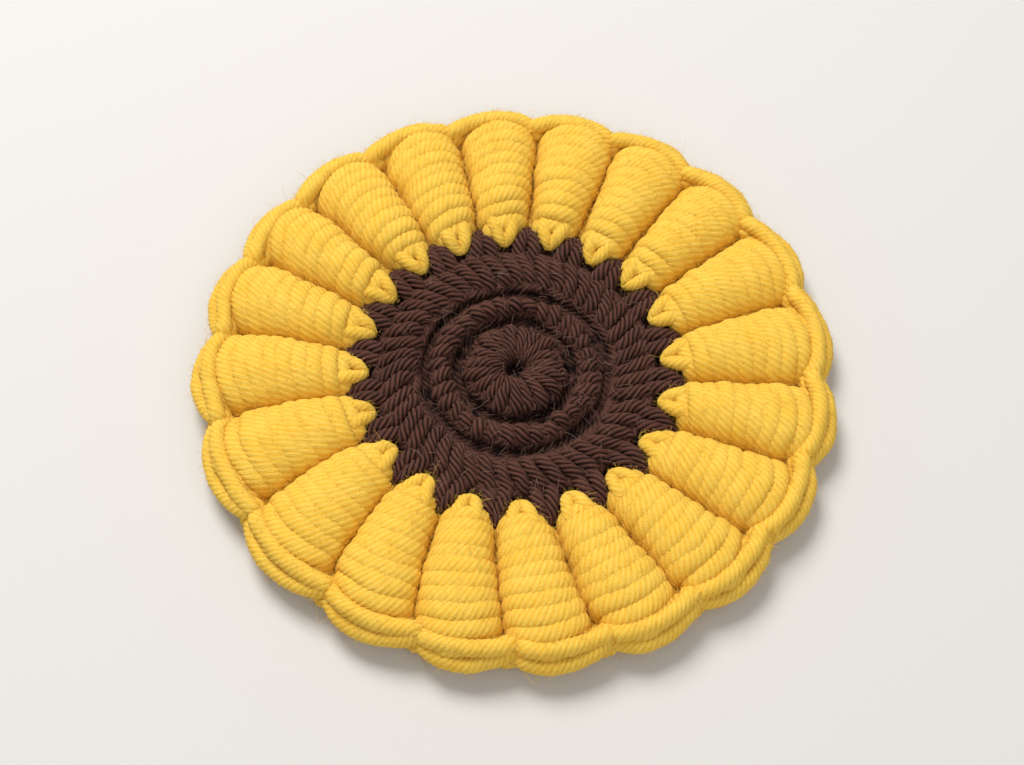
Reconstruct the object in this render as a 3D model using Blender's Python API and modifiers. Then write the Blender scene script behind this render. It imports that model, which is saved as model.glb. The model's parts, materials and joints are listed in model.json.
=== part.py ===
"""A round crocheted coaster in the shape of a sunflower, lying flat: three brown rounds in the
middle, twenty yellow roll stitches as petals, and a chain edging that closes the rim.

Metres, +Z up. The origin is on the underside, at the middle of the coaster."""

import math

import bmesh
import bpy
from mathutils import Vector

MM = 0.001

# Yarn
YARN = 2.5 * MM
YELLOW = (0.871, 0.527, 0.063, 1.0)
BROWN = (0.063, 0.026, 0.020, 1.0)
YARN_ROUGHNESS = 0.9

# Brown middle: each round is a turned ring, given by its radii and heights
CENTRE_TOP = 5.4 * MM
ROUND_1_RADIUS = 9.6 * MM
ROUND_1_DOME = 0.8 * MM
DIMPLE_RADIUS = 0.8 * MM
DIMPLE_DEPTH = 1.0 * MM
ROUND_2_RADII = (10.1 * MM, 15.6 * MM)
ROUND_3_RADII = (16.1 * MM, 25.0 * MM)
ROUND_EDGE = 1.0 * MM
TURN_STEPS = 40

# Points of the last brown round, one between each pair of petal feet
TOOTH_BASE_RADIUS = 24.2 * MM
TOOTH_TIP_RADIUS = 29.6 * MM
TOOTH_WIDTH = 5.0 * MM
TOOTH_HEIGHT = 4.4 * MM
TOOTH_SIDES = 8

# Petals: where the feet stand, and how many degrees each roll leans from foot to rim
PETALS = 20
PITCH = 2 * math.pi / PETALS
FIRST_FOOT = math.radians(3.6)
FOOT_DRIFT = math.radians(1.5)
DRIFT_TOWARDS = math.radians(60)
PETAL_LEAN = (2, 3, 2, 1, 0, -1, -1, 0, -1, -2, -1, 1, 5, 7, 6, 5, 4, 3, 3, 1)
FOOT_RADIUS = 25.4 * MM
RIM_RADIUS = 49.8 * MM
# Sections from the foot to the rim: radius, share of the room between neighbours, low and high
PETAL_SECTIONS = (
    (25.4 * MM, 0.14, 2.0 * MM, 4.2 * MM),
    (26.4 * MM, 0.44, 1.2 * MM, 4.9 * MM),
    (28.2 * MM, 0.54, 0.9 * MM, 5.2 * MM),
    (29.5 * MM, 0.74, 0.4 * MM, 6.4 * MM),
    (31.0 * MM, 0.90, 0.0 * MM, 7.6 * MM),
    (34.5 * MM, 0.94, 0.0 * MM, 8.6 * MM),
    (39.5 * MM, 0.96, 0.0 * MM, 9.0 * MM),
    (44.5 * MM, 0.96, 0.0 * MM, 9.0 * MM),
    (47.5 * MM, 0.93, 0.0 * MM, 8.6 * MM),
    (49.1 * MM, 0.80, 0.4 * MM, 7.4 * MM),
    (49.8 * MM, 0.56, 1.4 * MM, 6.0 * MM),
)
SECTION_POINTS = 12
SECTION_SQUARENESS = 0.75
BOTTOM_FLAT = 0.5 * MM

# Chain edging: one slanting loop of yarn over the end of each petal
LINK_RADIUS = 52.6 * MM
LINK_HEIGHT = 4.7 * MM
LINK_SPREAD = 1.35 * MM
LINK_DROP = 1.45 * MM
LINK_BULGE = 1.3 * MM
LINK_YARN = 2.6 * MM
LINK_GAP = 0.5 * MM
LINK_POINTS = 14
LINK_SQUARENESS = 0.6


def new_collection(name):
    collection = bpy.data.collections.new(name)
    bpy.context.scene.collection.children.link(collection)
    return collection


def yarn_material(name, colour):
    material = bpy.data.materials.new(name)
    material.use_nodes = True
    shader = material.node_tree.nodes["Principled BSDF"]
    shader.inputs["Base Color"].default_value = colour
    shader.inputs["Roughness"].default_value = YARN_ROUGHNESS
    shader.inputs["Metallic"].default_value = 0.0
    return material


def polar(radius, angle, height):
    return Vector((radius * math.cos(angle), radius * math.sin(angle), height))


def foot_angle(index):
    """Where petal `index` leaves the brown middle; the feet crowd a little to one side."""
    even = FIRST_FOOT + index * PITCH
    return even + FOOT_DRIFT * math.cos(even - DRIFT_TOWARDS)


def rim_angle(index):
    return foot_angle(index) + math.radians(PETAL_LEAN[index % PETALS])


def valley_angle(index, radius):
    """The line between petal `index` and the next one, at this radius."""
    outward = (radius - FOOT_RADIUS) / (RIM_RADIUS - FOOT_RADIUS)
    at_foot = (foot_angle(index) + foot_angle(index + 1)) / 2
    at_rim = (rim_angle(index) + rim_angle(index + 1)) / 2
    return at_foot + outward * (at_rim - at_foot)


def rounded(value, power):
    """A cosine or sine made squarer, so that a section fills its box."""
    return math.copysign(abs(value) ** power, value)


def add_object(name, mesh, material, collection):
    mesh.materials.append(material)
    mesh.shade_smooth()
    mesh.set_sharp_from_angle(angle=math.radians(50))
    obj = bpy.data.objects.new(name, mesh)
    collection.objects.link(obj)
    return obj


def turned(name, profile, closed, material, collection):
    """A profile at +X, running down its outer side, turned about the Z axis."""
    mesh = bpy.data.meshes.new(name)
    count = len(profile)
    edges = [(k, k + 1) for k in range(count - 1)]
    if closed:
        edges.append((count - 1, 0))
    mesh.from_pydata([(radius, 0, height) for radius, height in profile], edges, [])
    obj = add_object(name, mesh, material, collection)
    screw = obj.modifiers.new("Turn", "SCREW")
    screw.steps = TURN_STEPS
    screw.render_steps = TURN_STEPS
    screw.use_merge_vertices = True
    screw.merge_threshold = 0.00005
    return obj


def ring_profile(inner, outer, top):
    """A ring with rounded upper and lower edges, flat underneath."""
    return (
        (outer - ROUND_EDGE, top),
        (outer, top - ROUND_EDGE),
        (outer, ROUND_EDGE),
        (outer - ROUND_EDGE, 0),
        (inner + ROUND_EDGE, 0),
        (inner, ROUND_EDGE),
        (inner, top - ROUND_EDGE),
        (inner + ROUND_EDGE, top),
    )


def make_round_1(material, collection):
    crown = CENTRE_TOP + ROUND_1_DOME
    profile = (
        (0, crown - DIMPLE_DEPTH),
        (DIMPLE_RADIUS, crown - DIMPLE_DEPTH / 2),
        (2 * DIMPLE_RADIUS, crown),
        (ROUND_1_RADIUS / 2, crown),
        (ROUND_1_RADIUS - ROUND_EDGE, CENTRE_TOP),
        (ROUND_1_RADIUS, CENTRE_TOP - ROUND_EDGE),
        (ROUND_1_RADIUS, ROUND_EDGE),
        (ROUND_1_RADIUS - ROUND_EDGE, 0),
        (0, 0),
    )
    return turned("centre_round_1", profile, False, material, collection)


def make_teeth(material, cutters):
    """The points of round 3, as cones that lie on their sides; joined to the ring later."""
    bm = bmesh.new()
    length = TOOTH_TIP_RADIUS - TOOTH_BASE_RADIUS
    for index in range(PETALS):
        made = bmesh.ops.create_cone(
            bm,
            cap_ends=True,
            segments=TOOTH_SIDES,
            radius1=TOOTH_WIDTH / 2,
            radius2=0,
            depth=length,
        )
        angle = valley_angle(index, FOOT_RADIUS)
        outward = Vector((math.cos(angle), math.sin(angle), 0))
        sideways = Vector((-outward.y, outward.x, 0))
        for vert in made["verts"]:
            along = TOOTH_BASE_RADIUS + length / 2 + vert.co.z
            across = vert.co.x
            height = TOOTH_HEIGHT * (0.55 + vert.co.y / TOOTH_WIDTH)
            vert.co = outward * along + sideways * across + Vector((0, 0, height))
    bmesh.ops.recalc_face_normals(bm, faces=bm.faces)
    mesh = bpy.data.meshes.new("round_3_teeth")
    bm.to_mesh(mesh)
    bm.free()
    teeth = add_object("round_3_teeth", mesh, material, cutters)
    teeth.hide_render = True
    teeth.display_type = "WIRE"
    return teeth


def make_round_3(material, collection, cutters):
    profile = ring_profile(*ROUND_3_RADII, CENTRE_TOP)
    ring = turned("centre_round_3", profile, True, material, collection)
    union = ring.modifiers.new("Teeth", "BOOLEAN")
    union.operation = "UNION"
    union.solver = "EXACT"
    union.object = make_teeth(material, cutters)
    return ring


def petal_ring(bm, index, radius, share, low, high):
    """One section across petal `index`: a rounded box between its two valleys, flat below."""
    left = valley_angle(index, radius)
    right = valley_angle(index - 1, radius)
    middle = (left + right) / 2
    half_angle = share * (left - right) / 2
    middle_height = (low + high - BOTTOM_FLAT) / 2
    half_height = (high - low + BOTTOM_FLAT) / 2
    ring = []
    for k in range(SECTION_POINTS):
        turn = 2 * math.pi * k / SECTION_POINTS
        across = rounded(math.cos(turn), SECTION_SQUARENESS)
        up = rounded(math.sin(turn), SECTION_SQUARENESS)
        height = max(low, middle_height + half_height * up)
        ring.append(bm.verts.new(polar(radius, middle + half_angle * across, height)))
    return ring


def make_petal(index, material, collection):
    """A roll stitch, lofted from its foot in the brown middle to its broad end at the rim."""
    bm = bmesh.new()
    rings = [petal_ring(bm, index, *section) for section in PETAL_SECTIONS]
    for near, far in zip(rings, rings[1:]):
        for k in range(SECTION_POINTS):
            after = (k + 1) % SECTION_POINTS
            bm.faces.new((near[k], near[after], far[after], far[k]))
    bm.faces.new(rings[0])
    bm.faces.new(reversed(rings[-1]))
    bmesh.ops.recalc_face_normals(bm, faces=bm.faces)
    name = f"petal_{index + 1:02d}"
    mesh = bpy.data.meshes.new(name)
    bm.to_mesh(mesh)
    bm.free()
    return add_object(name, mesh, material, collection)


def make_link(index, material, collection):
    """A loop of edging: its inner leg lies over the petal's end, its outer leg lower, at the rim."""
    left = valley_angle(index, RIM_RADIUS)
    right = valley_angle(index - 1, RIM_RADIUS)
    middle = (left + right) / 2
    half_length = LINK_RADIUS * (left - right) / 2 - (LINK_YARN + LINK_GAP) / 2
    name = f"edge_link_{index + 1:02d}"
    curve = bpy.data.curves.new(name, "CURVE")
    curve.dimensions = "3D"
    curve.bevel_depth = LINK_YARN / 2
    curve.bevel_resolution = 1
    spline = curve.splines.new("POLY")
    spline.points.add(LINK_POINTS - 1)
    spline.use_cyclic_u = True
    for k, point in enumerate(spline.points):
        turn = 2 * math.pi * (k + 0.5) / LINK_POINTS
        along = rounded(math.cos(turn), LINK_SQUARENESS)
        outward = rounded(math.sin(turn), LINK_SQUARENESS)
        radius = LINK_RADIUS + LINK_SPREAD * outward + LINK_BULGE * (0.5 - along * along)
        height = LINK_HEIGHT - LINK_DROP * outward
        place = polar(radius, middle + along * half_length / LINK_RADIUS, height)
        point.co = (*place, 1)
    curve.materials.append(material)
    obj = bpy.data.objects.new(name, curve)
    collection.objects.link(obj)
    return obj


def clear_scene():
    for obj in list(bpy.data.objects):
        bpy.data.objects.remove(obj, do_unlink=True)


clear_scene()
coaster = new_collection("sunflower_coaster")
cutters = new_collection("cutters")
cutters.hide_render = True
brown = yarn_material("brown_yarn", BROWN)
yellow = yarn_material("yellow_yarn", YELLOW)
make_round_1(brown, coaster)
turned("centre_round_2", ring_profile(*ROUND_2_RADII, CENTRE_TOP), True, brown, coaster)
make_round_3(brown, coaster, cutters)
for petal in range(PETALS):
    make_petal(petal, yellow, coaster)
    make_link(petal, yellow, coaster)
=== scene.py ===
import json
import math
import random

import bmesh
import bpy
import numpy as np
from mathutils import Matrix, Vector, noise

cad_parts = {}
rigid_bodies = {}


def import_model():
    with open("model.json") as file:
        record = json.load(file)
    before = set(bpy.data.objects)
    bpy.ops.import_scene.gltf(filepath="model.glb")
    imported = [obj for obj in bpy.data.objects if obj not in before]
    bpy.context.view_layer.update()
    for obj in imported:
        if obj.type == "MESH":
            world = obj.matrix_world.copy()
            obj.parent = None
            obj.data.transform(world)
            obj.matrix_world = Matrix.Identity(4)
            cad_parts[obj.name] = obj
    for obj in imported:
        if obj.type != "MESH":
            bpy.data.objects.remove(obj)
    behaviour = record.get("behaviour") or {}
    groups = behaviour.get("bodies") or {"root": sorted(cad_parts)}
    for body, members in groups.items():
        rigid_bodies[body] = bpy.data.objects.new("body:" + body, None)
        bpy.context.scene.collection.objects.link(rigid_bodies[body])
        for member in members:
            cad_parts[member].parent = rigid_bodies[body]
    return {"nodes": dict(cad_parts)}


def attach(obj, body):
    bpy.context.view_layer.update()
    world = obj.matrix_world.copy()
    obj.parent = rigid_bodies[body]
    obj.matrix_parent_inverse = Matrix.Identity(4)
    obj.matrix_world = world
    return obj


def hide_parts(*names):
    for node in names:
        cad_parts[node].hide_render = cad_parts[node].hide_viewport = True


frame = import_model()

noise.seed_set(5)               # without it the noise's offsets come from the clock

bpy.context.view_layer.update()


# ---- Camera and studio ----
# The coaster lies flat on a plain pale table and is seen from the front and well above.
# A large soft light hangs over its far side, as a window would stand, and a weak one fills the front.

MM = 0.001
VIEW_ELEVATION = math.radians(60.79)
VIEW_ROLL = math.radians(0.75)
VIEW_DISTANCE = 294.6 * MM
VIEW_TARGET = Vector((-0.5, -0.45, 0)) * MM
LENS = 59.26
SENSOR = 36.0
NEAREST_SEEN = 0.01
TABLE_HALF_WIDTH = 3.0
TABLE_COLOUR = (0.62, 0.60, 0.57, 1)
TABLE_ROUGHNESS = 0.8
ROOM_COLOUR = (0.95, 0.97, 1.0, 1)
ROOM_STRENGTH = 0.45


def place_camera():
    data = bpy.data.cameras.new("view_camera")
    data.lens = LENS
    data.sensor_width = SENSOR
    data.clip_start = NEAREST_SEEN
    camera = bpy.data.objects.new("view_camera", data)
    bpy.context.scene.collection.objects.link(camera)
    back = Vector((0, -math.cos(VIEW_ELEVATION), math.sin(VIEW_ELEVATION)))
    camera.location = VIEW_TARGET + back * VIEW_DISTANCE
    facing = back.to_track_quat("Z", "Y").to_matrix().to_4x4()
    camera.rotation_euler = facing.to_euler()
    camera.rotation_euler.rotate_axis("Z", VIEW_ROLL)
    bpy.context.scene.camera = camera


def area_light(name, place, size, power, colour):
    """A round soft light that is aimed at the coaster's middle."""
    data = bpy.data.lights.new(name, "AREA")
    data.shape = "DISK"
    data.size = size
    data.energy = power
    data.color = colour
    light = bpy.data.objects.new(name, data)
    bpy.context.scene.collection.objects.link(light)
    light.location = place
    light.rotation_euler = Vector(place).to_track_quat("Z", "Y").to_euler()


def lay_floor():
    bm = bmesh.new()
    bmesh.ops.create_grid(bm, x_segments=1, y_segments=1, size=TABLE_HALF_WIDTH)
    mesh = bpy.data.meshes.new("table_top")
    bm.to_mesh(mesh)
    bm.free()
    material = bpy.data.materials.new("pale_table")
    material.use_nodes = True
    shader = material.node_tree.nodes["Principled BSDF"]
    shader.inputs["Base Color"].default_value = TABLE_COLOUR
    shader.inputs["Roughness"].default_value = TABLE_ROUGHNESS
    mesh.materials.append(material)
    floor = bpy.data.objects.new("table_top", mesh)
    bpy.context.scene.collection.objects.link(floor)


def light_world():
    world = bpy.data.worlds.new("soft_room")
    world.use_nodes = True
    background = world.node_tree.nodes["Background"]
    background.inputs["Color"].default_value = ROOM_COLOUR
    background.inputs["Strength"].default_value = ROOM_STRENGTH
    bpy.context.scene.world = world
    bpy.context.scene.view_settings.view_transform = "Standard"


place_camera()
light_world()
lay_floor()
area_light("window_light", (-0.25, 0.45, 0.75), size=0.5, power=8.6, colour=(1.0, 0.985, 0.96))
area_light("front_fill", (0.3, -0.6, 0.6), size=0.8, power=2.0, colour=(1.0, 0.97, 0.93))


# ---- Yarn, and the first brown round ----
# Every stitch is worked in one soft yarn of six plies, twisted to the left (an S twist). Here it
# makes round 1: stitches worked into a drawn-up ring, so that their strands fan out from a pinhole.

YARN_RADIUS = 1.24 * MM
PLIES = 6
POINTS_PER_PLY = 3
STEP = 0.48 * MM
ROUGHNESS = 0.035 * MM
LOWEST_SURFACE = 0.02 * MM
THICK_AND_THIN = 0.07
STRAND_APART = 7 * MM           # between two strands' places in the finish's fibre pattern


def yarn_section(name, groove_depth):
    """The outline of the six plies side by side, of radius YARN_RADIUS; each groove is a cusp."""
    curve = bpy.data.curves.new(name, "CURVE")
    curve.dimensions = "2D"
    spline = curve.splines.new("POLY")
    count = PLIES * POINTS_PER_PLY
    spline.points.add(count - 1)
    spline.use_cyclic_u = True
    for k, point in enumerate(spline.points):
        turn = 2 * math.pi * k / count
        depth = 1 - abs(math.sin(turn * PLIES / 2)) ** 0.8
        radius = YARN_RADIUS * (1 - groove_depth * depth)
        point.co = (radius * math.cos(turn), radius * math.sin(turn), 0, 1)
    return bpy.data.objects.new(name, curve)


def even_steps(path):
    """The same path with a point at every STEP of its length. Its columns are x, y, z, thickness."""
    lengths = np.linalg.norm(np.diff(path[:, :3], axis=0), axis=1)
    travelled = np.concatenate([[0], np.cumsum(lengths)])
    count = max(4, int(round(travelled[-1] / STEP)) + 1)
    at = np.linspace(0, travelled[-1], count)
    return np.stack([np.interp(at, travelled, column) for column in path.T], axis=1)


def through(points):
    """A smooth path through a few points (Catmull-Rom)."""
    points = np.array(points, float)
    padded = np.concatenate([2 * points[:1] - points[1:2], points, 2 * points[-1:] - points[-2:-1]])
    between = 10
    t = np.linspace(0, 1, between, endpoint=False)[:, None]
    pieces = []
    for a, b, c, d in zip(padded, padded[1:], padded[2:], padded[3:]):
        curve = 2 * b + (c - a) * t + (2 * a - 5 * b + 4 * c - d) * t * t
        pieces.append((curve + (3 * b - a - 3 * c + d) * t ** 3) / 2)
    return np.concatenate(pieces + [points[-1:]])


def on_table(path):
    """Keeps the yarn's underside on or above the table."""
    path[:, 2] = np.maximum(path[:, 2], path[:, 3] * YARN_RADIUS)
    return path


def wander(path, amount, size, seed):
    """Small uneven bends and thick and thin places, as handwork has."""
    for row in path:
        at = Vector(row[:3]) / size + Vector((seed, 0, 0))
        row[:3] += amount * np.array(noise.noise_vector(at))
        row[3] *= 1 + THICK_AND_THIN * noise.noise(at * 0.7 + Vector((0, seed, 5)))
    return path


def lay_yarn(name, paths, yarn, widening=1.0):
    """A rope of six twisted plies along each path, as one closed mesh. Yarn is its section, the
    length of one turn of its plies, and its finish."""
    section, lay, material = yarn
    curve = bpy.data.curves.new(name, "CURVE")
    curve.dimensions = "3D"
    curve.twist_mode = "MINIMUM"
    curve.bevel_mode = "OBJECT"
    curve.bevel_object = section
    lays = []
    for path in paths:
        path = on_table(even_steps(path))
        along = STEP * np.arange(len(path))
        spline = curve.splines.new("POLY")
        spline.points.add(len(path) - 1)
        spline.points.foreach_set("co", np.column_stack([path[:, :3], np.ones(len(path))]).ravel())
        spline.points.foreach_set("radius", path[:, 3])
        spline.points.foreach_set("tilt", -2 * math.pi * along / lay)
        lays.append(along)
    rope = bpy.data.objects.new(name + "_path", curve)
    bpy.context.scene.collection.objects.link(rope)
    graph = bpy.context.evaluated_depsgraph_get()
    mesh = bpy.data.meshes.new_from_object(rope.evaluated_get(graph))
    bpy.data.objects.remove(rope, do_unlink=True)
    mesh.name = name
    add_lay(mesh, lays)
    shape_strands(mesh, widening)
    bm = bmesh.new()
    bm.from_mesh(mesh)
    open_edges = [edge for edge in bm.edges if edge.is_boundary]
    bmesh.ops.holes_fill(bm, edges=open_edges, sides=0)
    bmesh.ops.recalc_face_normals(bm, faces=bm.faces)
    bm.to_mesh(mesh)
    bm.free()
    mesh.shade_smooth()
    mesh.materials.clear()
    mesh.materials.append(material)
    piece = bpy.data.objects.new(name, mesh)
    bpy.context.scene.collection.objects.link(piece)
    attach(piece, "root")
    return piece


def shape_strands(mesh, widening):
    """Roughens the yarn a little. Strands that are packed side by side, from the middle outward,
    also widen towards each other."""
    count = PLIES * POINTS_PER_PLY
    points = np.empty(3 * len(mesh.vertices))
    mesh.vertices.foreach_get("co", points)
    rings = points.reshape(-1, count, 3)
    middles = rings.mean(axis=1, keepdims=True)
    rough = np.random.default_rng(len(rings)).normal(0, ROUGHNESS, (len(rings), count, 1))
    rings += (rings - middles) / YARN_RADIUS * rough
    outward = middles * (1, 1, 0)
    outward /= np.linalg.norm(outward, axis=2, keepdims=True) + 1e-9
    reach = ((rings - middles) * outward).sum(axis=2, keepdims=True)
    rings += (widening - 1) * reach * outward
    rings[..., 2] = np.maximum(rings[..., 2], LOWEST_SURFACE)
    mesh.vertices.foreach_set("co", points)


def add_lay(mesh, lays):
    """Two attributes for the yarn's material: how far into a groove a point lies, which sets its painted
    shade, and where it is on the straight untwisted yarn."""
    count = PLIES * POINTS_PER_PLY
    turn = 2 * np.pi * np.arange(count) / count
    # Painted shade, fullest at the bottom of each groove between the plies
    groove = 1 - np.abs(np.sin(turn * PLIES / 2))
    grooves = np.concatenate([np.tile(groove, len(along)) for along in lays])
    places = []
    for strand, along in enumerate(lays):
        round_x = np.tile(YARN_RADIUS * np.cos(turn), len(along)) + strand * STRAND_APART
        round_y = np.tile(YARN_RADIUS * np.sin(turn), len(along))
        places.append(np.stack([round_x, round_y, np.repeat(along, count)], axis=1))
    mesh.attributes.new("groove", "FLOAT", "POINT").data.foreach_set("value", grooves)
    straight = mesh.attributes.new("straight_yarn", "FLOAT_VECTOR", "POINT")
    straight.data.foreach_set("vector", np.concatenate(places).ravel())


FIBRE_SCALE, PATCH_SCALE, NAP_SCALE = 5200, 260, 2600
FIBRE_STRETCH = (1, 1, 0.12)
PATCH_SHARE, PATCH_OFFSET = 0.5, -0.12


def yarn_material(name, light, painted_shade_colour, groove_shade_share, sheen_tint):
    """Dyed yarn: its own colour on the plies' crests, mixed towards a painted shade colour in the
    grooves and wherever else the groove attribute is raised, with random patches of tone, fine streaks
    of fibre along each ply and a soft nap."""
    material = bpy.data.materials.new(name)
    material.use_nodes = True
    tree = material.node_tree
    shader = tree.nodes["Principled BSDF"]

    def node(kind, **values):
        made = tree.nodes.new("ShaderNode" + kind)
        for key, value in values.items():
            setattr(made, key, value)
        return made

    groove = node("Attribute", attribute_name="groove")
    straight = node("Attribute", attribute_name="straight_yarn")
    stretch = node("Mapping")
    stretch.inputs["Scale"].default_value = FIBRE_STRETCH
    fibres = node("TexNoise")
    fibres.inputs["Scale"].default_value = FIBRE_SCALE
    fibres.inputs["Detail"].default_value = 3
    coordinates = node("TexCoord")
    patches = node("TexNoise")
    patches.inputs["Scale"].default_value = PATCH_SCALE
    patches.inputs["Detail"].default_value = 2
    nap = node("TexNoise")
    nap.inputs["Scale"].default_value = NAP_SCALE
    nap.inputs["Detail"].default_value = 3
    # Mix factor: the groove attribute times its share, which is painted shade, plus random patches of
    # tone
    depth = node("Math", operation="MULTIPLY_ADD")
    depth.inputs[1].default_value = groove_shade_share
    patch_share = node("Math", operation="MULTIPLY_ADD")
    patch_share.inputs[1].default_value = PATCH_SHARE
    patch_share.inputs[2].default_value = PATCH_OFFSET
    # The yarn's own colour, mixed towards the painted shade colour
    colour = node("Mix", data_type="RGBA")
    colour.inputs["A"].default_value = light
    colour.inputs["B"].default_value = painted_shade_colour
    height = node("Math", operation="ADD")
    bump = node("Bump")
    bump.inputs["Strength"].default_value = 0.8
    bump.inputs["Distance"].default_value = 0.16 * MM

    link = tree.links.new
    link(straight.outputs["Vector"], stretch.inputs["Vector"])
    link(stretch.outputs["Vector"], fibres.inputs["Vector"])
    link(coordinates.outputs["Object"], patches.inputs["Vector"])
    link(coordinates.outputs["Object"], nap.inputs["Vector"])
    link(patches.outputs["Fac"], patch_share.inputs[0])
    link(groove.outputs["Fac"], depth.inputs[0])
    link(patch_share.outputs["Value"], depth.inputs[2])
    link(depth.outputs["Value"], colour.inputs["Factor"])
    link(colour.outputs["Result"], shader.inputs["Base Color"])
    link(fibres.outputs["Fac"], height.inputs[0])
    link(nap.outputs["Fac"], height.inputs[1])
    link(height.outputs["Value"], bump.inputs["Height"])
    link(bump.outputs["Normal"], shader.inputs["Normal"])
    shader.inputs["Roughness"].default_value = 0.85
    shader.inputs["Specular IOR Level"].default_value = 0.12
    shader.inputs["Sheen Weight"].default_value = 0.04
    shader.inputs["Sheen Roughness"].default_value = 0.45
    shader.inputs["Sheen Tint"].default_value = sheen_tint
    return material


# The brown yarn: its dye colour, and a near-black painted shade colour for its grooves and seams
BROWN = (
    yarn_section("brown_yarn_section", 0.36),
    7.2 * MM,
    yarn_material(
        "brown_yarn_finish", light=(0.135, 0.055, 0.039, 1), painted_shade_colour=(0.003, 0.001, 0.0005, 1),
        groove_shade_share=0.88, sheen_tint=(0.75, 0.55, 0.48, 1),
    ),
)


def polar(radius, angle, height, thickness=1.0):
    return (radius * math.cos(angle), radius * math.sin(angle), height, thickness)


def ring_of(node):
    """Inner and outer radius and height of a turned CAD solid, from its own points."""
    points = np.array([vertex.co for vertex in frame["nodes"][node].data.vertices])
    radii = np.hypot(points[:, 0], points[:, 1])
    return radii.min(), radii.max(), points[:, 2].max()


PINHOLE = 1.35 * MM
PINHOLE_RING = 0.4 * MM         # how far its lowest strand stands back from the pinhole
PARTING = 0.3 * MM
OPEN_SEAMS = (1, 2)             # the seams outside rounds 1 and 2
PIT_DEPTH = 1.0 * MM
# Painted shade in the seams between rounds, and how far it reaches from a seam
SEAM_REACH = 0.9 * MM
CLOSED_SHADE = 0.42             # how much painted shade a seam has between its pits
EDGE_SHADE = 0.8                # and at the pinhole and under the petals
ROUND_OUTSIDE = {3: 25.0 * MM}  # round 3's solid also holds its points
RIM_SPACING = 1.9 * MM
RING_POINTS = 90
STITCH_POINTS = 36
ACROSS_POWER, UP_POWER = 0.76, 0.82
STITCH_SPREAD = 0.34 * MM
SHIFT_OUTWARD, SHIFT_SIDEWAYS = 0.9, 0.7
LEAN_SPREAD = 0.9 * MM
UNDER_DIP = 1.25 * MM
SHADE_TOP, SHADE_FADE = 0.9, 0.4        # a seam's painted shade starts below this share of the height
SHADE_LOWEST = 0.8                      # and ends this many mm above the table


def pit(seam, angle):
    """How far the stitches draw back from the seam between two rounds: it opens in small pits."""
    waves = np.sin((5 + 3 * seam) * angle + seam) * np.sin((9 + 4 * seam) * angle)
    return PIT_DEPTH * np.sqrt(np.maximum(0.0, waves)) if seam in OPEN_SEAMS else 0.0


def coiled_ring(number, ring, wraps, lean, seed, dip=0.0, crown=0.0, taper=0.0):
    """Yarn wrapped round and round a flat ring: the strands of its stitches, top and underside.
    The strands lean on the top, outer end first, and each lies a little unlike the last."""
    inner, outer, top = ring
    pick = random.Random(seed)
    low = YARN_RADIUS + dip
    high = top - YARN_RADIUS - dip
    inside = inner + YARN_RADIUS * (1 - taper)
    outside = outer - YARN_RADIUS
    lift = [pick.uniform(-1, 1) * STITCH_SPREAD for _ in range(wraps + 1)]
    shift = [pick.uniform(-1, 1) * STITCH_SPREAD for _ in range(wraps + 1)]
    turnings = [pick.uniform(-1, 1) for _ in range(wraps + 1)]
    rows = []
    for k in range(wraps * STITCH_POINTS):
        wrap, part = divmod(k, STITCH_POINTS)
        phase = 2 * math.pi * part / STITCH_POINTS
        across = math.copysign(abs(math.cos(phase)) ** ACROSS_POWER, math.cos(phase))
        up = math.copysign(abs(math.sin(phase)) ** UP_POWER, math.sin(phase))
        share = (across + 1) / 2
        radius = inside + (outside - inside) * share + SHIFT_OUTWARD * shift[wrap] * across
        height = (low + high) / 2 + (high - low) / 2 * up
        if up > 0:
            height += (crown * (1 - across * across) + lift[wrap]) * up
        angle = 2 * math.pi * (wrap + part / STITCH_POINTS) / wraps
        leaning = lean + LEAN_SPREAD * turnings[wrap] / outer
        angle += leaning * (share - 0.5) * (1 if up > 0 else -1)
        angle += shift[wrap] / outer * SHIFT_SIDEWAYS
        radius += pit(number - 1, angle) * (1 - share) ** 2 - pit(number, angle) * share**2
        thickness = (1 - taper * (1 - share) ** 1.3) * (1 + THICK_AND_THIN * turnings[wrap - 1])
        rows.append(polar(radius, angle, height, thickness))
    rows.append(rows[0])
    return np.array(rows)


def round_strand(radius, height, thickness, count):
    """A strand that runs once round the middle. One that would lie below the table lies on it."""
    turns = np.linspace(0, 2 * math.pi, count)
    return np.array([polar(radius, turn, height, thickness) for turn in turns])


def inner_strands(ring, cores):
    """The strands that run round inside a ring: low ones close its edges from below, and the
    tops of the stitches of the round before fill it."""
    inner, outer, top = ring
    low = [outer, outer - RIM_SPACING]
    low += [inner, inner + RIM_SPACING] if inner > PINHOLE else [inner + PINHOLE_RING]
    strands = [round_strand(radius, 0.0, 1.0, RING_POINTS) for radius in low]
    for k in range(cores):
        radius = inner + (outer - inner) * (k + 0.5) / cores
        strands.append(round_strand(radius, top / 2, 1.0, RING_POINTS))
    return strands


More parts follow.
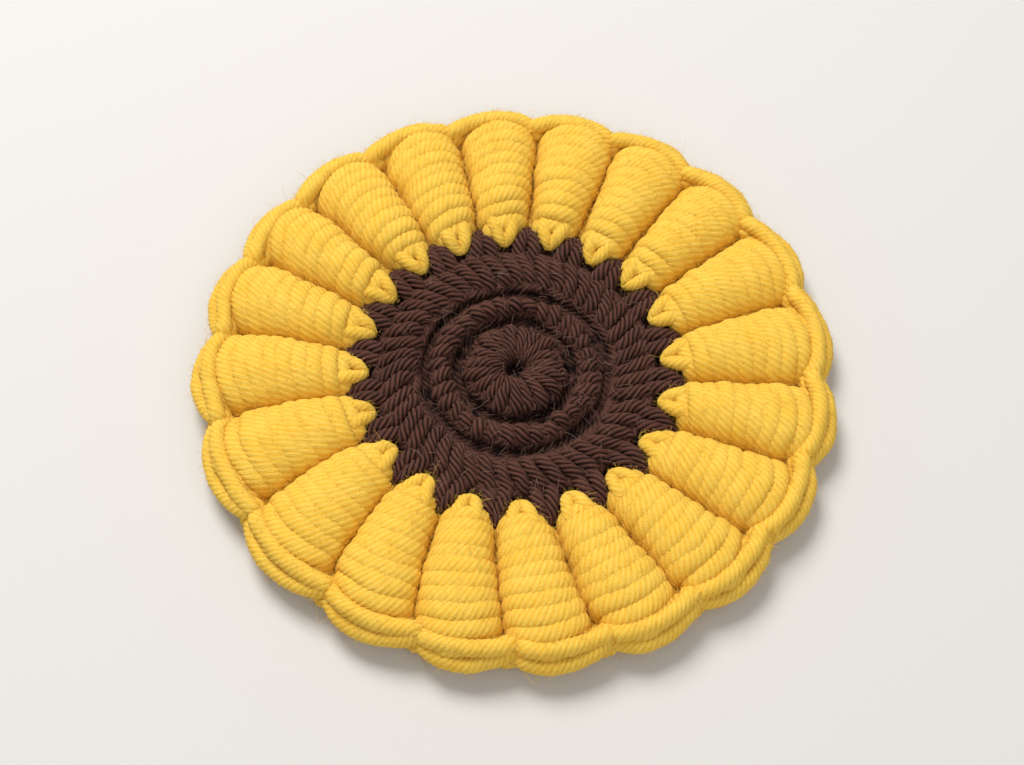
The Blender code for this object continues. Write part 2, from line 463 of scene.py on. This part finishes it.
def paint_seam_shade(piece, number, ring):
    """Paints shade into the yarn in the seams between rounds, where little light reaches it, most of
    all in the pits: the groove attribute is raised there, so the yarn takes its painted shade colour."""
    inner, outer, top = ring
    count = len(piece.data.vertices)
    points, groove = np.empty(3 * count), np.empty(count)
    piece.data.vertices.foreach_get("co", points)
    piece.data.attributes["groove"].data.foreach_get("value", groove)
    points = points.reshape(-1, 3)
    radii = np.hypot(points[:, 0], points[:, 1])
    angles = np.arctan2(points[:, 1], points[:, 0])
    painted_seam_shade = 0.0
    for seam, edge in ((number - 1, inner), (number, outer)):
        shade = EDGE_SHADE
        if seam in OPEN_SEAMS:
            shade = CLOSED_SHADE + (1 - CLOSED_SHADE) * pit(seam, angles) / PIT_DEPTH
        # Painted shade: full within a little of each seam, fading away from it
        painted_seam_shade = np.maximum(painted_seam_shade, shade * np.clip(1.4 - abs(radii - edge) / SEAM_REACH, 0, 1))
    below = np.clip((SHADE_TOP * top - points[:, 2]) / (SHADE_FADE * top), 0, 1)
    above_table = np.clip(points[:, 2] / MM - SHADE_LOWEST, 0, 1)
    # The painted seam shade is added to the groove attribute, below the stitches' tops and clear of the
    # table
    groove = np.maximum(groove, painted_seam_shade * below * above_table)
    piece.data.attributes["groove"].data.foreach_set("value", groove)


def work_round(number, wraps, lean, cores, **how):
    """One round of stitches, as two pieces: the strands seen from above, and a lower set half a
    stitch along, with the strands inside the ring."""
    node = f"centre_round_{number}"
    inner, outer, top = ring_of(node)
    ring = (max(PINHOLE, inner + PARTING), ROUND_OUTSIDE.get(number, outer) - PARTING, top)
    strands = coiled_ring(number, ring, wraps, lean, 10 + number, **how)
    under = coiled_ring(number, ring, wraps, lean, 20 + number, dip=UNDER_DIP, **how)
    half = math.pi / wraps
    turn = np.array([[math.cos(half), -math.sin(half)], [math.sin(half), math.cos(half)]])
    under[:, :2] = under[:, :2] @ turn.T
    strands, under = [wander(path, 0.3 * MM, 1.8 * MM, number) for path in (strands, under)]
    below = [under] + inner_strands(ring, cores)
    for part, paths in (("stitches", [strands]), ("underside", below)):
        piece = lay_yarn(f"round_{number}_{part}", paths, BROWN)
        # Paints shade into the seams of this piece
        paint_seam_shade(piece, number, ring)
        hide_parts(node)


work_round(1, wraps=19, lean=0.10, cores=2, crown=0.35 * MM, taper=0.5)


# ---- Second brown round ----
# Short stitches worked over the tops of round 1. They lean a little to the left as they are worked.

work_round(2, wraps=33, lean=0.16, cores=1, crown=0.3 * MM)


# ---- Third brown round, with its points ----
# The last and tallest round. Between each two petals its yarn stands up in a point, a short bent
# loop that is pushed into the valley between two rolls, and its edge runs on under their feet.

work_round(3, wraps=48, lean=0.19, cores=3, crown=0.35 * MM)

POINT_TIP = 29.3 * MM
POINT_FOOT = 24.4 * MM
POINT_SPREAD = 1.35 * MM
# A point's loop: across in spreads, share of the way to the tip, height in mm, thickness
POINT_SPOTS = (
    (0.9, -0.5, 2.6, 1.05), (0.95, 0.0, 3.9, 1.1), (0.85, 0.35, 4.3, 1.1), (0.5, 0.75, 3.8, 0.95),
    (0.0, 1.0, 3.2, 0.75),
    (-0.5, 0.75, 3.7, 0.95), (-0.85, 0.35, 4.2, 1.1), (-0.95, 0.0, 3.8, 1.1), (-0.9, -0.5, 2.6, 1.05),
)
EDGE_RADII = (26.4 * MM, 28.6 * MM)
EDGE_HEIGHT = 1.5 * MM


def point_angles():
    """The points of round 3 lie beyond its ring, one between each two petals."""
    points = np.array([vertex.co for vertex in frame["nodes"]["centre_round_3"].data.vertices])
    radii = np.hypot(points[:, 0], points[:, 1])
    tips = points[radii > radii.max() - 0.3 * MM]
    return sorted(set(np.round(np.arctan2(tips[:, 1], tips[:, 0]), 3)))


def point_path(angle, seed):
    pick = random.Random(seed)
    rows = []
    for across, share, height, thickness in POINT_SPOTS:
        radius = POINT_FOOT + (POINT_TIP - POINT_FOOT) * share
        sideways = across * POINT_SPREAD + pick.uniform(-0.15, 0.15) * MM
        rows.append(polar(radius, angle + sideways / radius, height * MM, thickness))
    return through(rows)


point_strands = [point_path(angle, 30 + k) for k, angle in enumerate(point_angles())]
point_strands += [round_strand(radius, EDGE_HEIGHT, 1.1, 120) for radius in EDGE_RADII]
points_piece = lay_yarn("round_3_points", point_strands, BROWN)
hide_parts("centre_round_3")


# ---- Petals ----
# Each petal is one roll stitch in yellow yarn: nine wraps laid side by side, wider towards the rim.
# At its foot the yarn comes up out of the brown round as a small pointed loop.

# The yellow yarn: its dye colour, and an orange painted shade colour for its grooves
YELLOW = (
    yarn_section("yellow_yarn_section", 0.10),
    5.6 * MM,
    yarn_material(
        "yellow_yarn_finish", light=(0.83, 0.570, 0.100, 1), painted_shade_colour=(0.76, 0.36, 0.003, 1),
        groove_shade_share=0.5, sheen_tint=(1.0, 0.86, 0.5, 1),
    ),
)
WRAP_PITCH = 2.24 * MM
WRAP_POINTS = 40
WRAP_FULLNESS = 1.05
WRAP_WIDENING = 1.6
WRAP_WIDE, WRAP_TALL, WRAP_PUSH, WRAP_TILT = 0.32 * MM, 0.2 * MM, 0.28 * MM, 0.3 * MM
WRAP_SKEW = 0.35 * MM
FIRST_WRAP = 29.5 * MM
LAST_WRAP = 49.7 * MM
END_SECTION = 48.8 * MM
END_BOW = 1.7 * MM
# How much of the room between its valleys a roll takes, at these distances from the middle
WIDTH_RADII = (29.5 * MM, 31.5 * MM, 34 * MM, 45.5 * MM, 48 * MM, 49.7 * MM)
WIDTH_SHARES = (0.86, 0.95, 0.97, 0.97, 0.93, 0.86)
CAD_SHARE = 0.96
LOW_SPREAD = 0.12
FOOT_SPLAY = 1.35 * MM
FOOT_START = 25.9 * MM
# One leg of a foot's loop, down to its tip: outward in mm, across in splays, height in mm, thickness
FOOT_SPOTS = (
    (7.5, 1.1, 4.4, 1.05), (5.2, 1.35, 5.0, 1.1), (3.6, 1.2, 5.4, 1.1), (2.2, 0.95, 5.3, 1.05),
    (1.0, 0.66, 4.9, 0.95), (0.3, 0.34, 4.5, 0.8), (0.0, 0.0, 4.2, 0.7),
)


def sections_of(node):
    """The sections of one CAD petal, a row each: radius, middle angle, half angle, low, high."""
    points = np.array([vertex.co for vertex in frame["nodes"][node].data.vertices])
    radii = np.hypot(points[:, 0], points[:, 1])
    toward = np.arctan2(points[:, 1].mean(), points[:, 0].mean())
    angles = np.angle(np.exp(1j * (np.arctan2(points[:, 1], points[:, 0]) - toward)))
    rows = []
    for radius in np.unique(np.round(radii, 4)):
        ring = np.abs(radii - radius) < 0.05 * MM
        right, left = angles[ring].min(), angles[ring].max()
        low, high = points[ring, 2].min(), points[ring, 2].max()
        rows.append((radius, (left + right) / 2 + toward, (left - right) / 2, low, high))
    return np.array(rows)


def section_at(sections, radius):
    return [np.interp(radius, sections[:, 0], column) for column in sections.T]


def roll_of_wraps(sections, seed):
    """One long strand wound round the petal, a turn for each wrap, each a little unlike the last."""
    pick = random.Random(seed)
    wraps = int(round((LAST_WRAP - FIRST_WRAP) / WRAP_PITCH))
    uneven = [[pick.uniform(-1, 1) for _ in range(4)] for _ in range(wraps + 3)]
    skew = pick.uniform(-WRAP_SKEW, WRAP_SKEW)
    rows = []
    for k in range((wraps + 1) * WRAP_POINTS + 1):
        wrap, part = divmod(k, WRAP_POINTS)
        part /= WRAP_POINTS
        phase = math.pi + 2 * math.pi * part
        wide, tall, push, tilt = [
            (1 - part) * a + part * b for a, b in zip(uneven[wrap], uneven[wrap + 1])
        ]
        across = -math.copysign(abs(math.cos(phase)) ** 0.98, math.cos(phase))
        up = -math.copysign(abs(math.sin(phase)) ** 1.02, math.sin(phase))
        radius = FIRST_WRAP + (LAST_WRAP - FIRST_WRAP) * min(wrap + part, wraps + 0.3) / wraps
        _, middle, _, low, high = section_at(sections, min(radius, END_SECTION))
        room = sections[:, 2].max() / CAD_SHARE * radius * np.interp(radius, WIDTH_RADII, WIDTH_SHARES)
        half_width = room - YARN_RADIUS + WRAP_WIDE * wide
        low = low + YARN_RADIUS
        high = max(low + 0.5 * MM, high - YARN_RADIUS + WRAP_TALL * tall)
        # The last turn draws together behind the wraps, and each turn's lower half is wider
        closing = max(0, wrap + part - wraps) * 0.85
        half_width *= (1 - closing) * (1 + LOW_SPREAD * min(1, max(0, -3 * up)))
        low, high = low + (high - low) * closing / 2, high - (high - low) * closing / 2
        radius += WRAP_PUSH * push - (skew + WRAP_TILT * tilt) * across
        radius += END_BOW * ((wrap + part) / wraps) ** 2 * (1 - across * across)
        height = (low + high) / 2 + (high - low) / 2 * up
        rows.append(polar(radius, middle + across * half_width / radius, height, WRAP_FULLNESS))
    return np.array(rows)


def foot(sections, seed):
    """The loop at the foot: out of the brown round, over its edge and in under the first wrap."""
    pick = random.Random(seed)
    _, middle, _, _, _ = sections[0]
    lean = sections[4, 1] - middle
    turned = [(outward, -splay, *rest) for outward, splay, *rest in reversed(FOOT_SPOTS[:-1])]
    rows = []
    for outward, splay, height, thickness in FOOT_SPOTS + tuple(turned):
        radius = FOOT_START + outward * MM
        sideways = splay * FOOT_SPLAY + pick.uniform(-0.12, 0.12) * MM
        turn = middle + lean * outward / 6 + sideways / radius
        rows.append(polar(radius, turn, height * MM + pick.uniform(-0.12, 0.12) * MM, thickness))
    return through(rows)


def make_petal(number):
    node = f"petal_{number:02d}"
    sections = sections_of(node)
    roll = wander(roll_of_wraps(sections, 100 + number), 0.16 * MM, 2.6 * MM, 7 * number)
    loop = wander(foot(sections, 200 + number), 0.1 * MM, 2.2 * MM, 7 * number)
    pieces = (
        lay_yarn(f"petal_roll_{number:02d}", [roll], YELLOW, WRAP_WIDENING),
        lay_yarn(f"petal_foot_{number:02d}", [loop], YELLOW),
    )
    for piece in pieces:
        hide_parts(node)


PETALS = sum(name.startswith("petal_") for name in frame["nodes"])
for number in range(1, PETALS + 1):
    make_petal(number)


# ---- Chain edging ----
# A chain in the same yarn runs round the rim: a long loop lies over the broad end of each petal, and
# a short one low in the valley joins it to the next. It is worked into strands that lie under it.

# A loop lies over the rim at a slant: its own across and up, each as outward and upward
LOOP_ACROSS = Vector((1.8, -2.0)).normalized()
LOOP_UP = Vector((-LOOP_ACROSS.y, LOOP_ACROSS.x))
# A loop's strand: share of its length, across and up in yarn radii
LOOP_SPOTS = (
    (-0.02, -0.25, -0.9), (0.10, -0.75, 0.05), (0.32, -1.15, 0.2), (0.62, -1.2, 0.2), (0.88, -1.05, 0.3),
    (1.04, -0.75, 0.45), (1.12, 0.0, 0.5), (1.04, 0.75, 0.45), (0.88, 1.05, 0.3),
    (0.62, 1.25, 0.1), (0.32, 1.3, 0.0), (0.06, 1.1, -0.3), (-0.08, 0.6, -1.0),
    (0.12, -0.7, -1.7), (0.5, -1.0, -1.9), (0.85, -0.8, -1.7),
)
SPOTS_TO_NEXT = 13              # a short loop's strand stops here, where the next long loop begins
SHORT_SHARE = 0.14
LOOP_WIDTH = 0.88
EDGING_FULLNESS = 1.22
EDGING_RADIUS = 52.35 * MM
EDGING_HEIGHT = 5.2 * MM
EDGING_BULGE = 1.6 * MM
VALLEY_DIP = (1.3 * MM, 1.8 * MM)
BASE_RADII = (46.0 * MM, 48.4 * MM)
BASE_HEIGHT = 1.9 * MM
VALLEY_START = 29.8 * MM


def rim_of(node):
    """The two end angles of one CAD link."""
    points = np.array([vertex.co for vertex in frame["nodes"][node].data.vertices])
    toward = np.arctan2(points[:, 1].mean(), points[:, 0].mean())
    angles = np.angle(np.exp(1j * (np.arctan2(points[:, 1], points[:, 0]) - toward))) + toward
    return angles.min(), angles.max()


def loop_path(start, end, radius, height, bulge, seed):
    """One chain loop between two angles, from its root round its head and back under itself."""
    pick = random.Random(seed)
    rows = []
    for share, across, up in LOOP_SPOTS:
        swell = bulge * (1 + 0.08 * across) * (0.5 - (2 * share - 1) ** 2)
        across = (across * LOOP_WIDTH + pick.uniform(-0.12, 0.12)) * YARN_RADIUS
        up = (up + pick.uniform(-0.12, 0.12)) * YARN_RADIUS
        out = radius + across * LOOP_ACROSS.x + up * LOOP_UP.x + swell
        rise = height + across * LOOP_ACROSS.y + up * LOOP_UP.y
        rows.append(polar(out, start + (end - start) * share, rise, EDGING_FULLNESS))
    return rows


def make_edging():
    rims = [rim_of(f"edge_link_{number:02d}") for number in range(1, PETALS + 1)]
    for index, (start, end) in enumerate(rims):
        gap = (rims[(index + 1) % PETALS][0] - end) % (2 * math.pi)
        short = SHORT_SHARE * (end - start)
        begin = start + short / 2
        stop = end + gap - short / 2
        long_loop = loop_path(begin, stop, EDGING_RADIUS, EDGING_HEIGHT, EDGING_BULGE, 400 + index)
        inward, down = VALLEY_DIP
        short_loop = loop_path(
            stop, stop + short, EDGING_RADIUS - inward, EDGING_HEIGHT - down, 0.0, 500 + index
        )
        path = wander(through(long_loop + short_loop[:SPOTS_TO_NEXT]), 0.08 * MM, 2.0 * MM, index)
        piece = lay_yarn(f"edging_{index + 1:02d}", [path], YELLOW)
        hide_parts(f"edge_link_{index + 1:02d}")


def base_strands():
    """The strands under the chain: two run round from petal to petal and carry it, and one lies
    low in each valley."""
    paths = [round_strand(radius, BASE_HEIGHT, 1.2, 180) for radius in BASE_RADII]
    for number in range(1, PETALS + 1):
        sections = sections_of(f"petal_{number:02d}")
        rows = []
        for radius in np.linspace(VALLEY_START, BASE_RADII[1], 9):
            _, middle, half, _, _ = section_at(sections, radius)
            rows.append(polar(radius, middle + half / CAD_SHARE, BASE_HEIGHT, 1.1))
        paths.append(np.array(rows))
    paths = [wander(path, 0.12 * MM, 2.0 * MM, 31) for path in paths]
    piece = lay_yarn("edging_base", paths, YELLOW)


make_edging()
base_strands()


# ---- Loose fibres ----
# The yarn is a soft brushed blend, so fine fibre ends stand up all over it, and a few long hairs
# lie across the stitches.

FIBRE_RADIUS = 0.028 * MM
FIBRE_SIDES = 3
ROOT_DEPTH = 0.1 * MM
TOUSLE = 0.9                    # how far a fibre leans from straight out of the yarn
MERGE = 1e-7


def fibre_section():
    curve = bpy.data.curves.new("fibre_section", "CURVE")
    curve.dimensions = "2D"
    spline = curve.splines.new("POLY")
    spline.points.add(FIBRE_SIDES - 1)
    spline.use_cyclic_u = True
    for k, point in enumerate(spline.points):
        turn = 2 * math.pi * k / FIBRE_SIDES
        point.co = (FIBRE_RADIUS * math.cos(turn), FIBRE_RADIUS * math.sin(turn), 0, 1)
    return bpy.data.objects.new("fibre_section", curve)


FIBRE_SECTION = fibre_section()


def fibre_material(name, colour):
    material = bpy.data.materials.new(name)
    material.use_nodes = True
    tree = material.node_tree
    shader = tree.nodes["Principled BSDF"]
    coordinates = tree.nodes.new("ShaderNodeTexCoord")
    shades = tree.nodes.new("ShaderNodeTexNoise")
    shades.inputs["Scale"].default_value = 700
    ramp = tree.nodes.new("ShaderNodeValToRGB")
    ramp.color_ramp.elements[0].color = [0.75 * c for c in colour[:3]] + [1]
    ramp.color_ramp.elements[1].color = colour
    tree.links.new(coordinates.outputs["Object"], shades.inputs["Vector"])
    tree.links.new(shades.outputs["Fac"], ramp.inputs["Fac"])
    tree.links.new(ramp.outputs["Color"], shader.inputs["Base Color"])
    shader.inputs["Roughness"].default_value = 0.8
    shader.inputs["Specular IOR Level"].default_value = 0.2
    return material


def fluff(name, pieces, count, kind, finish, seed, facing=-1.0):
    """Fibres, pointed at both ends, that start in the yarn of these pieces and bend away from it.
    They start only where the yarn's surface faces up by at least this much."""
    length, points, curl, width = kind
    material, slot = finish
    pick = np.random.default_rng(seed)
    places, normals = [], []
    for piece in pieces:
        for field, rows in (("co", places), ("normal", normals)):
            values = np.empty(3 * len(piece.data.vertices))
            piece.data.vertices.foreach_get(field, values)
            rows.append(values.reshape(-1, 3))
    places, normals = np.concatenate(places), np.concatenate(normals)
    raised = np.flatnonzero(normals[:, 2] >= facing)
    chosen = raised[pick.integers(0, len(raised), count)]
    at = places[chosen] - ROOT_DEPTH * normals[chosen]
    loose = pick.normal(size=(count, 3))
    heading = normals[chosen] + TOUSLE * loose / np.linalg.norm(loose, axis=1, keepdims=True)
    bend = curl * pick.normal(size=(count, 3))
    reach = pick.uniform(*length, (count, 1)) / (points - 1)
    steps = []
    for _ in range(points):
        at[:, 2] = np.maximum(at[:, 2], 2 * FIBRE_RADIUS)
        steps.append(at.copy())
        heading /= np.linalg.norm(heading, axis=1, keepdims=True)
        at = at + heading * reach
        heading = heading + bend
    fibres = np.concatenate([np.stack(steps, axis=1), np.ones((count, points, 1))], axis=2)
    taper = np.full(points, width)
    taper[[0, -1]] = 0
    curve = bpy.data.curves.new(name, "CURVE")
    curve.dimensions = "3D"
    curve.bevel_mode = "OBJECT"
    curve.bevel_object = FIBRE_SECTION
    for fibre in fibres:
        spline = curve.splines.new("POLY")
        spline.points.add(points - 1)
        spline.points.foreach_set("co", fibre.ravel())
        spline.points.foreach_set("radius", taper)
    strand = bpy.data.objects.new(name + "_path", curve)
    bpy.context.scene.collection.objects.link(strand)
    graph = bpy.context.evaluated_depsgraph_get()
    mesh = bpy.data.meshes.new_from_object(strand.evaluated_get(graph))
    bpy.data.objects.remove(strand, do_unlink=True)
    bm = bmesh.new()
    bm.from_mesh(mesh)
    bmesh.ops.remove_doubles(bm, verts=bm.verts, dist=MERGE)
    bmesh.ops.recalc_face_normals(bm, faces=bm.faces)
    bm.to_mesh(mesh)
    bm.free()
    mesh.name = name
    mesh.shade_smooth()
    mesh.materials.clear()
    mesh.materials.append(material)
    piece = bpy.data.objects.new(name, mesh)
    bpy.context.scene.collection.objects.link(piece)
    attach(piece, "root")


def shown(start):
    return [piece for piece in bpy.data.objects if piece.name.startswith(start) and piece.type == "MESH"]


# Each kind of fibre: shortest and longest, points along it, curl, thickness
YELLOW_NAP = ((0.6 * MM, 1.7 * MM), 3, 0.5, 0.85)
YELLOW_HAIRS = ((2.0 * MM, 5.0 * MM), 8, 0.35, 1.0)
BROWN_NAP = ((0.6 * MM, 1.5 * MM), 3, 0.5, 1.0)
BROWN_HAIRS = ((2.0 * MM, 5.0 * MM), 8, 0.5, 1.0)
BROWN_FACING = 0.5
YELLOW_FINISH = (fibre_material("yellow_fibre", (0.90, 0.60, 0.10, 1)), "yellow_yarn")
BROWN_FINISH = (fibre_material("brown_fibre", (0.095, 0.038, 0.027, 1)), "brown_yarn")
HAIR_FINISH = (fibre_material("brown_hair", (0.30, 0.20, 0.155, 1)), "brown_yarn")
PETAL_PIECES = ("petal_roll", "petal_foot", "edging")

middle = shown("round_")
for number in range(1, PETALS + 1):
    petal = [bpy.data.objects[f"{start}_{number:02d}"] for start in PETAL_PIECES]
    fluff(f"petal_nap_{number:02d}", petal, 4200, YELLOW_NAP, YELLOW_FINISH, number)
    fluff(f"petal_hairs_{number:02d}", petal, 70, YELLOW_HAIRS, YELLOW_FINISH, 50 + number)
fluff("brown_nap", middle, 13000, BROWN_NAP, BROWN_FINISH, 3, BROWN_FACING)
fluff("brown_hairs", middle, 700, BROWN_HAIRS, HAIR_FINISH, 4, BROWN_FACING)
